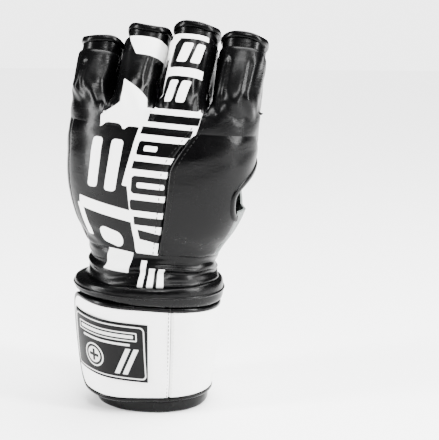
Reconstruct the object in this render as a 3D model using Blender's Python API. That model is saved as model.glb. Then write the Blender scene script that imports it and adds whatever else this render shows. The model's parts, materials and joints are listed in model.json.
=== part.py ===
"""A left-hand MMA glove standing on its wrist cuff.

+Z runs up from the cuff to the fingertips, the back of the hand faces -Y, and the thumb side is +X.
The origin is on the ground, under the middle of the glove's bounding box.
Shape functions work in millimetres. A mesh is turned to metres when it is made.
"""

import math

import bmesh
import bpy
from mathutils import Matrix, Vector

MM = 0.001

# Where the cuff's axis stands, so that the origin is under the middle of the whole glove.
CUFF_X = -8.52
CUFF_Y = 0.46

# The hand leans to the thumb side and turns about the wrist joint, inside the cuff's mouth.
WRIST_Z = 90.0
HAND_LEAN_DEG = 5.0

# The fingers turn about one line across the knuckles, given in the hand's own frame.
KNUCKLE_S = 104.0
FINGER_CURL_DEG = 20.0
KNUCKLE_FACE_DEG = 5.5
KNUCKLE_CLEAR_R = 24.0

LEATHER = 1.6
LINING = 1.0
GAP = 0.35
LAYER_GAP = 0.9
SEAM_DEG = 0.5

# Cuff: (height, half width, half depth) of the sleeve's outer face.
CUFF_STATIONS = [(0, 34.0, 28.5), (10, 35.5, 30.0), (45, 39.5, 33.0), (90, 41.5, 34.5)]
CUFF_ROUNDNESS = 2.1
SLEEVE_THICK = 3.0
SLEEVE_TOP = 85.0
FOOT_RIM_TOP = 6.0
RIM_ROWS = [75.6, 80.0, 84.4]
RIM_THICK = 4.6
STRAP_LOW = 11.5
STRAP_HIGH = 71.5
STRAP_MIDDLE = 41.5
PATCH_MARGIN = 5.0
STRAP_THICK = 3.0
STRAP_BINDING_R = 1.5
PATCH_THICK = 0.8
TAB_ROOT_DEG = 294.0
TAB_END_DEG = 192.0
WRAP_END_DEG = 586.0
TAB_LIFT = 7.1
PATCH_GAP = 0.6
LABEL_SPAN_DEG = (204.0, 268.0)
LABEL_HEIGHT = (20.0, 63.0)

# Hand: (height above the wrist joint, half width, depth to the back, depth to the palm).
HAND_STATIONS = [
    (0, 38.0, 30.0, 30.0),
    (14, 43.5, 33.0, 32.0),
    (30, 52.0, 37.0, 35.0),
    (50, 58.5, 40.0, 34.0),
    (72, 60.5, 40.0, 27.0),
    (104, 60.0, 35.0, 20.0),
]
HAND_ROUNDNESS = 2.4
HAND_LOW = 14.0
PALM_TOP = 74.0
PALM_TOP_AT_THUMB = 44.0
FOAM_AT_EDGE = 2.5
HAND_FOAM = 14.0
ULNAR_SEAM_DEG = 205.0
ULNAR_PALM_SEAM_DEG = 150.0
THUMB_PALM_SEAM_DEG = 342.0
THUMB_CROTCH_DEG = 380.0
THUMB_HOLE_S = 58.0
THUMB_HOLE_HALF = 18.0
THUMB_HOLE_DEPTH_DEG = 15.0

# Palm pad: an egg on the palm, narrow end towards the fingers.
PAD_S = 40.0
PAD_HALF_HEIGHT = 24.0
PAD_HALF_WIDTH = 18.0
PAD_RISE = 6.0

# Fingers: name, middle across the hand, width, depth to the back, length of the pad.
FINGERS = [
    ("little", -45.5, 28.0, 27.0, 27.0),
    ("ring", -16.5, 28.0, 33.0, 37.0),
    ("middle", 13.5, 30.0, 34.0, 41.0),
    ("index", 44.5, 30.0, 28.0, 37.0),
]
FINGER_ROUNDNESS = 2.8
FINGER_PALM_DEPTH = 18.0
FINGER_CAVITY_BACK = 12.0
FINGER_SIDE_WALL = 5.0
UNDERSIDE_LOW = -14.0
COLLAR_HEIGHT = 10.0
COLLAR_INSET = 2.0
COLLAR_THICK = 2.0

BLACK = (0.012, 0.012, 0.013)
WHITE = (0.82, 0.82, 0.80)
GREY = (0.27, 0.30, 0.29)


# ---------------------------------------------------------------- tools


def clear_scene():
    for leftover in list(bpy.data.objects):
        bpy.data.objects.remove(leftover)


def new_collection(name):
    made = bpy.data.collections.new(name)
    bpy.context.scene.collection.children.link(made)
    return made


def material(name, colour, roughness):
    made = bpy.data.materials.new(name)
    made.use_nodes = True
    shader = made.node_tree.nodes["Principled BSDF"]
    shader.inputs["Base Color"].default_value = (*colour, 1)
    shader.inputs["Roughness"].default_value = roughness
    shader.inputs["Metallic"].default_value = 0.0
    return made


def along(stations, s):
    """The station values at s, on a smooth (Catmull-Rom) curve through the stations."""
    last = len(stations) - 2
    index = max(0, min(last, sum(row[0] <= s for row in stations) - 1))
    before, low, high, after = (stations[max(0, min(last + 1, index + k))] for k in (-1, 0, 1, 2))
    t = (s - low[0]) / (high[0] - low[0])
    values = []
    for p0, p1, p2, p3 in zip(before[1:], low[1:], high[1:], after[1:]):
        curve = 2 * p1 + (p2 - p0) * t
        curve += (2 * p0 - 5 * p1 + 4 * p2 - p3) * t * t
        curve += (3 * p1 - p0 - 3 * p2 + p3) * t * t * t
        values.append(curve / 2)
    return values


def ease(value, low, high):
    t = max(0.0, min(1.0, (value - low) / (high - low)))
    return t * t * (3 - 2 * t)


def oval_point(angle_deg, half_width, back, palm, roundness):
    """A point on a rounded section: 0 degrees is +X (thumb side), 90 the palm and 270 the back."""
    cosine = math.cos(math.radians(angle_deg))
    sine = math.sin(math.radians(angle_deg))
    depth = palm if sine > 0 else back
    power = 2 / roundness
    x = half_width * math.copysign(abs(cosine) ** power, cosine)
    y = depth * math.copysign(abs(sine) ** power, sine)
    return x, y


def cuff_point(angle_deg, z, inset):
    half_width, depth = along(CUFF_STATIONS, z)
    x, y = oval_point(angle_deg, half_width - inset, depth - inset, depth - inset, CUFF_ROUNDNESS)
    return Vector((x, y, z))


def hand_point(angle_deg, s, inset):
    half_width, back, palm = along(HAND_STATIONS, s)
    x, y = oval_point(angle_deg, half_width - inset, back - inset, palm - inset, HAND_ROUNDNESS)
    return Vector((x, y, s))


def link(name, data, look, parent):
    made = bpy.data.objects.new(name, data)
    made.data.materials.append(look)
    made.parent = parent
    glove.objects.link(made)
    return made


def solid_from_grid(name, outer, inner, look, parent, ring=False):
    """A closed solid between two grids of points of the same size. A ring's first column follows its last."""
    mesh = bmesh.new()
    columns, rows = len(outer), len(outer[0])
    sides = []
    for grid in (outer, inner):
        sides.append([[mesh.verts.new(point * MM) for point in column] for column in grid])
    front, rear = sides
    pairs = [(i, (i + 1) % columns) for i in range(columns if ring else columns - 1)]
    for i, k in pairs:
        for j in range(rows - 1):
            mesh.faces.new((front[i][j], front[k][j], front[k][j + 1], front[i][j + 1]))
            mesh.faces.new((rear[i][j], rear[i][j + 1], rear[k][j + 1], rear[k][j]))
        for j in (0, rows - 1):
            mesh.faces.new((front[i][j], rear[i][j], rear[k][j], front[k][j]))
    if not ring:
        for i in (0, columns - 1):
            for j in range(rows - 1):
                mesh.faces.new((front[i][j], front[i][j + 1], rear[i][j + 1], rear[i][j]))
    bmesh.ops.recalc_face_normals(mesh, faces=mesh.faces[:])
    data = bpy.data.meshes.new(name)
    mesh.to_mesh(data)
    mesh.free()
    data.shade_smooth()
    data.set_sharp_from_angle(angle=math.radians(35))
    return link(name, data, look, parent)


def panel(name, shape, angles, heights, outside, inside, look, parent, ring=False):
    """A curved panel of a wrapped shell. angles are the columns' angles, each a number or a function of
    the height, and heights the rows' heights, each a number or a function of the angle and the depth.
    outside and inside are its depths under the shell's face: numbers, or functions of the angle."""
    grids = []
    for depth_at in (outside, inside):
        grid = []
        for angle_at in angles:
            column = []
            for height_at in heights:
                level = height_at(270, 0) if callable(height_at) else height_at
                angle = angle_at(level) if callable(angle_at) else angle_at
                depth = depth_at(angle) if callable(depth_at) else depth_at
                height = height_at(angle, depth) if callable(height_at) else height_at
                column.append(shape(angle, height, depth))
            grid.append(column)
        grids.append(grid)
    return solid_from_grid(name, *grids, look, parent, ring)


def spread(first, last, count):
    return [first + (last - first) * k / count for k in range(count + 1)]


def round_angles(count):
    return [360 * k / count for k in range(count)]


def tube(name, points, radius, look, parent, closed=False):
    """A round binding or piping: a curve with a bevel through the points."""
    curve = bpy.data.curves.new(name, "CURVE")
    curve.dimensions = "3D"
    curve.bevel_depth = radius * MM
    curve.bevel_resolution = 1
    curve.use_fill_caps = True
    spline = curve.splines.new("POLY")
    spline.points.add(len(points) - 1)
    spline.use_cyclic_u = closed
    for knot, point in zip(spline.points, points):
        knot.co = (*(point * MM), 1)
    return link(name, curve, look, parent)


def pivot(name, location, rotation, parent):
    made = bpy.data.objects.new(name, None)
    made.parent = parent
    made.matrix_local = Matrix.Translation(Vector(location) * MM) @ rotation
    glove.objects.link(made)
    return made


# ---------------------------------------------------------------- cuff and strap


def make_cuff(stand):
    """The inner sleeve that takes the wrist, its bound foot and its padded top rim."""
    around = round_angles(24)
    sleeve_rows = [FOOT_RIM_TOP + GAP, 30, 58, SLEEVE_TOP]
    panel("cuff_sleeve", cuff_point, around, sleeve_rows, 0, SLEEVE_THICK, black_leather, stand, True)
    foot_rows = [0, FOOT_RIM_TOP]
    panel("cuff_foot_rim", cuff_point, around, foot_rows, -0.8, SLEEVE_THICK + 0.8, black_leather, stand,
          True)
    panel("cuff_top_rim", cuff_point, around, RIM_ROWS, -LAYER_GAP - RIM_THICK, -LAYER_GAP, black_leather,
          stand, True)


def patch_rows():
    return [STRAP_LOW + PATCH_MARGIN, STRAP_MIDDLE, STRAP_HIGH - PATCH_MARGIN]


def make_strap_wrap(stand):
    """The fixed length of the strap. It runs from the stitched line on the back, round the thumb side
    and the palm side, to its start under the free tab, and has a bound edge above and below."""
    inside = -LAYER_GAP
    outside = -LAYER_GAP - STRAP_THICK
    columns = spread(TAB_ROOT_DEG + SEAM_DEG, WRAP_END_DEG, 26)
    panel("strap_wrap", cuff_point, columns, [STRAP_LOW, STRAP_MIDDLE, STRAP_HIGH], outside, inside,
          white_leather, stand)
    middle = (inside + outside) / 2
    offset = STRAP_BINDING_R + GAP
    for name, z in (("low", STRAP_LOW - offset), ("high", STRAP_HIGH + offset)):
        points = [cuff_point(angle, z, middle) for angle in columns]
        tube(f"strap_wrap_binding_{name}", points, STRAP_BINDING_R, black_leather, stand)
    loop_face = outside - PATCH_GAP
    loop_columns = spread(WRAP_END_DEG - 30, WRAP_END_DEG - 4, 4)
    panel("strap_loop_patch", cuff_point, loop_columns, patch_rows(), loop_face - PATCH_THICK, loop_face,
          black_fabric, stand)


def tab_lift(angle_deg):
    """How far the tab's inner face stands off the sleeve: it climbs over the strap's start."""
    over_start = ease(TAB_ROOT_DEG - angle_deg, 14, 56)
    return -(LAYER_GAP + (TAB_LIFT - LAYER_GAP) * over_start)


def tab_face(angle_deg):
    return tab_lift(angle_deg) - STRAP_THICK


def label_back(angle_deg):
    return tab_face(angle_deg) - LAYER_GAP


def label_face(angle_deg):
    return label_back(angle_deg) - 1.0


def hook_back(angle_deg):
    return tab_lift(angle_deg) + PATCH_GAP


def hook_face(angle_deg):
    return hook_back(angle_deg) + PATCH_THICK


def make_strap_tab(stand):
    """The strap's free tab, which peels open about the stitched line, with its hook patch and label."""
    columns = spread(TAB_END_DEG, TAB_ROOT_DEG - SEAM_DEG, 12)
    panel("strap_tab", cuff_point, columns, [STRAP_LOW, STRAP_MIDDLE, STRAP_HIGH], tab_face, tab_lift,
          white_leather, stand)
    offset = STRAP_BINDING_R + GAP
    end_angle = TAB_END_DEG - 3.4
    edge = []
    for angle in reversed(columns):
        edge.append(cuff_point(angle, STRAP_LOW - offset, tab_lift(angle) - STRAP_THICK / 2))
    for z in spread(STRAP_LOW - 0.4, STRAP_HIGH + 0.4, 4):
        edge.append(cuff_point(end_angle, z, tab_lift(end_angle) - STRAP_THICK / 2))
    for angle in columns:
        edge.append(cuff_point(angle, STRAP_HIGH + offset, tab_lift(angle) - STRAP_THICK / 2))
    tube("strap_tab_binding", edge, STRAP_BINDING_R, black_leather, stand)
    hook_columns = spread(TAB_END_DEG + 5, WRAP_END_DEG - 364, 4)
    panel("strap_hook_patch", cuff_point, hook_columns, patch_rows(), hook_back, hook_face, black_fabric,
          stand)
    label_columns = spread(*LABEL_SPAN_DEG, 6)
    panel("strap_label", cuff_point, label_columns, spread(*LABEL_HEIGHT, 3), label_face, label_back,
          black_rubber, stand)


# ---------------------------------------------------------------- hand


def back_seam(s):
    """The seam between the printed back and the black thumb-side panel: it runs up the middle of the
    back, then turns out to the gap between the index and middle fingers."""
    return 278 + 19 * ease(s, 66, KNUCKLE_S + 8)


def thumb_seam(s):
    """Below the thumb hole the thumb-side panel meets the palm on the side of the hand. Above the hole
    it reaches further round, to the crotch of the thumb."""
    return THUMB_PALM_SEAM_DEG + (THUMB_CROTCH_DEG - THUMB_PALM_SEAM_DEG) * ease(s, 54, 82)


def thumb_edge(s):
    """The thumb-side panel's palm edge, cut away round the thumb hole."""
    reach = (s - THUMB_HOLE_S) / THUMB_HOLE_HALF
    notch = math.sqrt(1 - reach * reach) if abs(reach) < 1 else 0
    return thumb_seam(s) - THUMB_HOLE_DEPTH_DEG * notch


def top_at(angle_deg, inset):
    """The hand shell's top edge. On the back it is a plane through the knuckle line, so that it stays
    the same angle from the fingers. Beside and below that line it leaves room for the fingers to turn."""
    depth = -hand_point(angle_deg, KNUCKLE_S, inset).y
    back_top = KNUCKLE_S + depth * math.tan(math.radians(KNUCKLE_FACE_DEG))
    side_top = KNUCKLE_S - KNUCKLE_CLEAR_R
    return side_top + (back_top - side_top) * ease(depth, 12, 17)


def upper_row(share):
    """A row above the thumb hole, at that share of the way to the shell's top edge."""
    low = THUMB_HOLE_S + THUMB_HOLE_HALF
    return lambda angle, inset: low + share * (top_at(angle, inset) - low)


def hand_rows():
    hole = [THUMB_HOLE_S - THUMB_HOLE_HALF * math.cos(math.radians(30 * k)) for k in range(7)]
    return [HAND_LOW, 27] + hole + [upper_row(share) for share in (0.3, 0.65, 1.0)]


def hand_column(first, last, share):
    """A column of a panel at that share of the way between two edges, each a function of the height."""
    return lambda s: first(s) + share * (last(s) - first(s))


def level(value):
    return lambda s: value


def columns_between(first, last, count):
    return [hand_column(first, last, k / count) for k in range(count + 1)]


def foam_depth(angle_deg):
    """The depth of the foam's inner face: thick over the knuckles, thin at the sides."""
    middle = max(0.0, -math.sin(math.radians(angle_deg)))
    return LEATHER + LAYER_GAP + FOAM_AT_EDGE + (HAND_FOAM - FOAM_AT_EDGE) * middle ** 1.3


def palm_top(angle_deg):
    """The palm leather's top edge: level across the palm, and falling away below the thumb hole."""
    return PALM_TOP_AT_THUMB + (PALM_TOP - PALM_TOP_AT_THUMB) * ease(angle_deg, 20, 48)


def palm_angle(x, s):
    """The section angle on the palm at a distance x across it."""
    half_width = along(HAND_STATIONS, s)[0]
    cosine = math.copysign((abs(x) / half_width) ** (HAND_ROUNDNESS / 2), x)
    return math.degrees(math.acos(cosine))


def make_hand_covers(hand):
    rows = hand_rows()
    ulnar_back = level(ULNAR_SEAM_DEG + SEAM_DEG)
    back_edges = columns_between(ulnar_back, lambda s: back_seam(s) - SEAM_DEG, 9)
    thumb_edges = columns_between(lambda s: back_seam(s) + SEAM_DEG, thumb_edge, 8)
    ulnar_edges = spread(ULNAR_PALM_SEAM_DEG + SEAM_DEG, ULNAR_SEAM_DEG - SEAM_DEG, 4)
    panel("back_cover", hand_point, back_edges, rows, 0, LEATHER, printed_leather, hand)
    panel("thumb_side_cover", hand_point, thumb_edges, rows, 0, LEATHER, black_leather, hand)
    panel("little_side_cover", hand_point, ulnar_edges, rows, 0, LEATHER, black_leather, hand)
    palm_columns = spread(THUMB_PALM_SEAM_DEG - 360 + 2 * SEAM_DEG, ULNAR_PALM_SEAM_DEG - SEAM_DEG, 12)
    palm_rows = [palm_row(share) for share in spread(0, 1, 5)]
    panel("palm_cover", hand_point, palm_columns, palm_rows, 0, LEATHER, grey_leather, hand)
    lining_depth = LEATHER + LAYER_GAP
    lining_columns = spread(54, ULNAR_PALM_SEAM_DEG - 6, 7)
    lining_rows = [HAND_LOW, 34, 52, PALM_TOP - 4]
    panel("palm_lining", hand_point, lining_columns, lining_rows, lining_depth, lining_depth + LINING,
          grey_fabric, hand)


def palm_row(share):
    return lambda angle, inset: HAND_LOW + share * (palm_top(angle) - HAND_LOW)


def make_back_padding(hand):
    """The foam block under the printed back, and the lining between it and the hand."""
    rows = hand_rows()
    columns = spread(202, 320, 11)
    panel("back_foam", hand_point, columns, rows, LEATHER + LAYER_GAP, foam_depth, foam, hand)

    def lining_face(angle_deg):
        return foam_depth(angle_deg) + GAP

    def lining_back(angle_deg):
        return foam_depth(angle_deg) + GAP + LINING

    panel("back_lining", hand_point, columns, rows, lining_face, lining_back, grey_fabric, hand)


def make_wrist_sleeve(hand):
    """The soft sleeve that joins the hand to the cuff: it reaches down inside the cuff's mouth."""
    stations = [(-14, 34.0, 25.0), (0, 35.0, 26.0), (14, 40.0, 29.0)]

    def shape(angle_deg, s, inset):
        half_width, depth = along(stations, s)
        x, y = oval_point(angle_deg, half_width - inset, depth - inset, depth - inset, CUFF_ROUNDNESS)
        return Vector((x, y, s))

    rows = [-11, 0, HAND_LOW - GAP]
    panel("wrist_sleeve", shape, round_angles(20), rows, 0, LEATHER, black_leather, hand, True)


def egg_point(radius, angle_deg, rise):
    """A point of the palm pad: radius is 0 in its middle and 1 at its rim."""
    turn = math.radians(angle_deg)
    along_pad = radius * math.sin(turn)
    narrowing = 1 - 0.16 * along_pad
    s = PAD_S + PAD_HALF_HEIGHT * along_pad
    x = PAD_HALF_WIDTH * radius * math.cos(turn) * narrowing
    return hand_point(palm_angle(x, s), s, -rise)


def pad_dome(name, low_at, high_at, reach, look, hand):
    """An egg-shaped pad between two heights above the palm, each a function of the radius. It starts as
    a ball, whose upper half becomes the high face and whose lower half becomes the low face."""
    mesh = bmesh.new()
    bmesh.ops.create_uvsphere(mesh, u_segments=16, v_segments=8, radius=1)
    for vert in mesh.verts:
        radius = min(1.0, math.hypot(vert.co.x, vert.co.y))
        angle = math.degrees(math.atan2(vert.co.y, vert.co.x))
        rise = high_at(radius) if vert.co.z > -0.01 else low_at(radius)
        vert.co = egg_point(radius * reach, angle, rise) * MM
    bmesh.ops.reverse_faces(mesh, faces=mesh.faces[:])
    data = bpy.data.meshes.new(name)
    mesh.to_mesh(data)
    mesh.free()
    data.shade_smooth()
    return link(name, data, look, hand)


def make_palm_pad(hand):
    cover = 1.2
    foam_edge = 0.9

    def dome(radius, edge, top):
        return edge + (top - edge) * math.sqrt(1 - radius ** 2.4)

    def cover_face(radius):
        return dome(radius, LAYER_GAP, PAD_RISE)

    def foam_face(radius):
        return dome(radius, foam_edge, PAD_RISE - cover - LAYER_GAP)

    pad_dome("palm_pad_cover", lambda radius: cover_face(radius) - cover, cover_face, 1.0, grey_leather,
             hand)
    pad_dome("palm_pad_foam", lambda radius: GAP, foam_face, 0.8, foam, hand)


def make_palm_edges(hand):
    """The bound edge along the palm slot, the bound edge round the thumb hole, the narrow strap
    between those two openings, and the grey facing inside the hole."""
    binding_r = 1.8
    lift = binding_r + GAP
    slot_points = []
    for angle in spread(50, ULNAR_PALM_SEAM_DEG - 3, 12):
        slot_points.append(hand_point(angle, palm_top(angle) + lift, LEATHER / 2))
    tube("palm_slot_binding", slot_points, binding_r, black_leather, hand)
    hole_r = 1.5
    hole_points = []
    for turn in spread(22, 158, 12):
        s = THUMB_HOLE_S - THUMB_HOLE_HALF * math.cos(math.radians(turn))
        edge = hand_point(thumb_edge(s), s, LEATHER / 2)
        ahead = hand_point(thumb_edge(s + 0.2), s + 0.2, LEATHER / 2)
        outward = hand_point(thumb_edge(s), s, 0) - edge
        into_hole = (ahead - edge).cross(outward).normalized()
        hole_points.append(edge + into_hole * (hole_r + 1.5))
    tube("thumb_hole_binding", hole_points, hole_r, black_leather, hand)
    crotch_top = KNUCKLE_S - KNUCKLE_CLEAR_R
    crotch_columns = spread(21.5, 45, 4)
    crotch_rows = [crotch_top - 4, crotch_top + 1]
    panel("thumb_crotch_strap", hand_point, crotch_columns, crotch_rows, 0, 2.4, black_leather, hand)
    facing_columns = spread(323, 333, 2)
    facing_rows = [THUMB_HOLE_S - 14, THUMB_HOLE_S, THUMB_HOLE_S + 14]
    panel("thumb_hole_facing", hand_point, facing_columns, facing_rows, 4.6, 5.8, grey_leather, hand)


# ---------------------------------------------------------------- fingers


def make_finger(name, middle, width, back, length, hand):
    """One finger: a padded back with its foam, the leather under the finger, and the bound collar."""
    turn = Matrix.Rotation(math.radians(-FINGER_CURL_DEG), 4, "X")
    knuckle = pivot(f"{name}_knuckle", (middle, 0, KNUCKLE_S), turn, hand)
    half = width / 2
    tip_share = 0.8

    def depth_at(s):
        return back * (1 - (1 - tip_share) * ease(s, 0, length))

    def shape(angle_deg, s, inset):
        reach = half - min(inset, FINGER_SIDE_WALL)
        x, y = oval_point(angle_deg, reach, depth_at(s) - inset, FINGER_PALM_DEPTH - inset,
                          FINGER_ROUNDNESS)
        return Vector((x, y, s))

    def row(share):
        def height(angle_deg, inset):
            depth = max(0.0, -shape(angle_deg, 0, inset).y)
            base = -depth * math.tan(math.radians(KNUCKLE_FACE_DEG))
            return base + share * (length - base)

        return height


    def foam_inside(angle_deg):
        middle_share = max(0.0, -math.sin(math.radians(angle_deg)))
        return LEATHER + LAYER_GAP + 1.8 + (back - FINGER_CAVITY_BACK - LEATHER - 4) * middle_share ** 2

    panel(f"{name}_pad_cover", shape, spread(180, 360, 8), [row(k / 4) for k in range(5)], 0, LEATHER,
          finger_looks[name], knuckle)
    panel(f"{name}_pad_foam", shape, spread(192, 348, 8), [row(k / 3) for k in range(4)],
          LEATHER + LAYER_GAP, foam_inside, foam, knuckle)
    under_columns = spread(2, 178, 6)
    under_rows = [UNDERSIDE_LOW, length * 0.4, length]
    panel(f"{name}_underside", shape, under_columns, under_rows, 0, LEATHER, black_leather, knuckle)

    def collar_shape(angle_deg, s, inset):
        reach = half - COLLAR_INSET - inset
        depth = FINGER_CAVITY_BACK + COLLAR_THICK - inset
        x, y = oval_point(angle_deg, reach, depth, FINGER_PALM_DEPTH - inset, FINGER_ROUNDNESS)
        return Vector((x, y, s))

    collar_rows = [length + GAP, length + COLLAR_HEIGHT]
    panel(f"{name}_collar", collar_shape, round_angles(14), collar_rows, 0, COLLAR_THICK, black_leather,
          knuckle, True)


# ---------------------------------------------------------------- the glove

clear_scene()
glove = new_collection("mma_glove")
black_leather = material("black_leather", BLACK, 0.32)
printed_leather = material("printed_leather", BLACK, 0.32)
white_leather = material("white_leather", WHITE, 0.42)
grey_leather = material("grey_leather", GREY, 0.6)
black_fabric = material("black_fabric", BLACK, 0.85)
grey_fabric = material("grey_fabric", GREY, 0.9)
black_rubber = material("black_rubber", BLACK, 0.5)
foam = material("foam", (0.05, 0.05, 0.055), 0.95)
finger_looks = {
    "little": black_leather,
    "ring": printed_leather,
    "middle": printed_leather,
    "index": black_leather,
}

stand_pivot = pivot("stand", (CUFF_X, CUFF_Y, 0), Matrix.Identity(4), None)
lean = Matrix.Rotation(math.radians(HAND_LEAN_DEG), 4, "Y")
hand_pivot = pivot("wrist", (0, 0, WRIST_Z), lean, stand_pivot)

make_cuff(stand_pivot)
make_strap_wrap(stand_pivot)
make_strap_tab(stand_pivot)
make_wrist_sleeve(hand_pivot)
make_hand_covers(hand_pivot)
make_back_padding(hand_pivot)
make_palm_pad(hand_pivot)
make_palm_edges(hand_pivot)
for finger in FINGERS:
    make_finger(*finger, hand_pivot)
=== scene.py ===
import json
import math

import bpy
import numpy as np
from mathutils import Matrix, Vector


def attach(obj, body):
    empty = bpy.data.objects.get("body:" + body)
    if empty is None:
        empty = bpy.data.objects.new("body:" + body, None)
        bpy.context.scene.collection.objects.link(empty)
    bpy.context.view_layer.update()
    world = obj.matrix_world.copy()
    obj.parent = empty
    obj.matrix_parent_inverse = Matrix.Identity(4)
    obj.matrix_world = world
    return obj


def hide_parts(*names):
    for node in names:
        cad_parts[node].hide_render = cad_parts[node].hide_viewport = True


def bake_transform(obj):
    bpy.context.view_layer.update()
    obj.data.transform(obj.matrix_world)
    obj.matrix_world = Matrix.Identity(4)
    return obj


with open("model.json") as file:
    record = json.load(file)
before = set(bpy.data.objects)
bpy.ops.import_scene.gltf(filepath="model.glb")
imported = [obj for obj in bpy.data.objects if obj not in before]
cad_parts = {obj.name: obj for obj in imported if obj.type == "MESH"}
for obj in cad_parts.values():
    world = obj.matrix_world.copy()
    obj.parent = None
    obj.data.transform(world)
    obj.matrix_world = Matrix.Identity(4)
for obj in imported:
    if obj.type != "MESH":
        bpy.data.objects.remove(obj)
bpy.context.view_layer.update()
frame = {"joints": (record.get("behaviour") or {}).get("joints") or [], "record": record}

# ---------------------------------------------------------------- studio
# A pale floor in a white room. Two tall narrow soft boxes stand to the left and the right, a small one
# hangs above the front, and a broad ceiling light fills in. The camera stands a little to the thumb side.

MM = 0.001
AIM = Vector((0.0, 0.0, 0.1225))
CAMERA_AZIMUTH = 10.0
CAMERA_ELEVATION = 10.5
CAMERA_DISTANCE = 0.64
CAMERA_LENS = 81.0
CAMERA_SHIFT = (0.124, -0.008)
ROOM_IN_GLOSS, ROOM_BEHIND = 0.09, 4.1
FLOOR_HALF = 6


def new_object(name, data):
    made = bpy.data.objects.new(name, data)
    bpy.context.scene.collection.objects.link(made)
    return made


def turn_to(thing, place, target):
    thing.rotation_mode = "QUATERNION"
    thing.rotation_quaternion = (target - place).to_track_quat("-Z", "Y")


def round_the_glove(azimuth, elevation, distance):
    turn, rise = math.radians(azimuth), math.radians(elevation)
    away = Vector((math.sin(turn) * math.cos(rise), -math.cos(turn) * math.cos(rise), math.sin(rise)))
    return AIM + away * distance


camera = new_object("camera", bpy.data.cameras.new("camera"))
camera.location = round_the_glove(CAMERA_AZIMUTH, CAMERA_ELEVATION, CAMERA_DISTANCE)
turn_to(camera, camera.location, AIM)
camera.data.sensor_width = 36.0
camera.data.lens = CAMERA_LENS
camera.data.shift_x, camera.data.shift_y = CAMERA_SHIFT
bpy.context.scene.camera = camera

world = bpy.data.worlds.new("white_room")
world.use_nodes = True
sky = world.node_tree.nodes["Background"]
sky.inputs["Color"].default_value = (1.0, 1.0, 1.0, 1.0)
seen = world.node_tree.nodes.new("ShaderNodeLightPath").outputs["Is Camera Ray"]
glow = world.node_tree.nodes.new("ShaderNodeMapRange")
glow.inputs["To Min"].default_value = ROOM_IN_GLOSS
glow.inputs["To Max"].default_value = ROOM_BEHIND
world.node_tree.links.new(seen, glow.inputs["Value"])
world.node_tree.links.new(glow.outputs["Result"], sky.inputs["Strength"])
bpy.context.scene.world = world


def soft_box(name, azimuth, elevation, distance, width, height, power):
    light = bpy.data.lights.new(name, "AREA")
    light.shape = "RECTANGLE"
    light.size, light.size_y = width, height
    light.energy = power
    lamp = new_object(name, light)
    lamp.location = round_the_glove(azimuth, elevation, distance)
    turn_to(lamp, lamp.location, AIM)


soft_box("left_box", -62, 18, 1.2, 0.20, 1.1, 42.0)
soft_box("right_box", 74, 24, 1.2, 0.20, 0.9, 44.0)
soft_box("front_box", 20, 50, 1.4, 0.4, 0.3, 20.0)
ceiling = new_object("ceiling", bpy.data.lights.new("ceiling", "SUN"))
ceiling.data.energy = 13.0
ceiling.data.angle = math.radians(60)
turn_to(ceiling, Vector((0.25, 0.2, 1.0)), Vector((0.0, 0.0, 0.0)))

floor_look = bpy.data.materials.new("pale_floor")
floor_look.use_nodes = True
floor_shader = floor_look.node_tree.nodes["Principled BSDF"]
floor_shader.inputs["Base Color"].default_value = (0.95, 0.95, 0.95, 1.0)
floor_shader.inputs["Roughness"].default_value = 0.8
floor_mesh = bpy.data.meshes.new("floor")
floor_corners = [(FLOOR_HALF * x, FLOOR_HALF * y, 0) for x, y in ((-1, -1), (1, -1), (1, 1), (-1, 1))]
floor_mesh.from_pydata(floor_corners, [], [(0, 1, 2, 3)])
floor_mesh.materials.append(floor_look)
floor = new_object("floor", floor_mesh)


# ---------------------------------------------------------------- cuff sleeve
# The inner sleeve takes the wrist: one tube of black hide, 3 mm thick with its backing, a little wider
# above than below. Everything on the cuff is placed by its height and its angle round the wrist.

FOOT_POINT = Vector(frame["record"]["mounts"][0]["pos_m"]) / MM
FOOT_POINT_OUT = 32.5
CUFF_X = FOOT_POINT.x - FOOT_POINT_OUT
CUFF_Y = FOOT_POINT.y
CUFF_MIDDLE = np.array([CUFF_X, CUFF_Y, 0.0])
SLEEVE_LOW, SLEEVE_HIGH = 2.5, 84.0
CUFF_STATIONS = [(0, 34.0, 28.5), (10, 35.5, 30.0), (45, 39.5, 33.0), (90, 41.5, 34.5)]
CUFF_ROUNDNESS = 2.1


def ease(value, low, high):
    t = np.clip((value - low) / (high - low), 0.0, 1.0)
    return t * t * (3 - 2 * t)


def smooth_rows(keys, places, wanted):
    """Rows at the wanted places on the smooth curves through key rows. keys has the shape (key, ...)."""
    keys, places, wanted = np.asarray(keys, float), np.asarray(places, float), np.asarray(wanted, float)
    slopes = np.gradient(keys, places, axis=0)
    low = np.clip(np.searchsorted(places, wanted) - 1, 0, len(places) - 2)
    span = places[low + 1] - places[low]
    shape = wanted.shape + (1,) * (keys.ndim - 1)
    t = ((wanted - places[low]) / span).reshape(shape)
    span = span.reshape(shape)
    square, cube = t * t, t * t * t
    rows = keys[low] * (2 * cube - 3 * square + 1) + keys[low + 1] * (3 * square - 2 * cube)
    return rows + span * (slopes[low] * (cube - 2 * square + t) + slopes[low + 1] * (cube - square))


def station_values(stations, place):
    """The values between stations, each an array of the shape of place."""
    table = np.array(stations, float)
    rows = smooth_rows(table[:, 1:], table[:, 0], np.asarray(place, float))
    return [rows[..., k] for k in range(rows.shape[-1])]


def oval(angle_deg, half_width, back, palm, roundness):
    """A rounded section: 0 degrees is the thumb side, 90 the palm, 180 the little finger, 270 the back."""
    cosine, sine = np.cos(np.radians(angle_deg)), np.sin(np.radians(angle_deg))
    depth = np.where(sine > 0, palm, back)
    x = half_width * np.sign(cosine) * np.abs(cosine) ** (2 / roundness)
    y = depth * np.sign(sine) * np.abs(sine) ** (2 / roundness)
    return x, y


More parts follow.
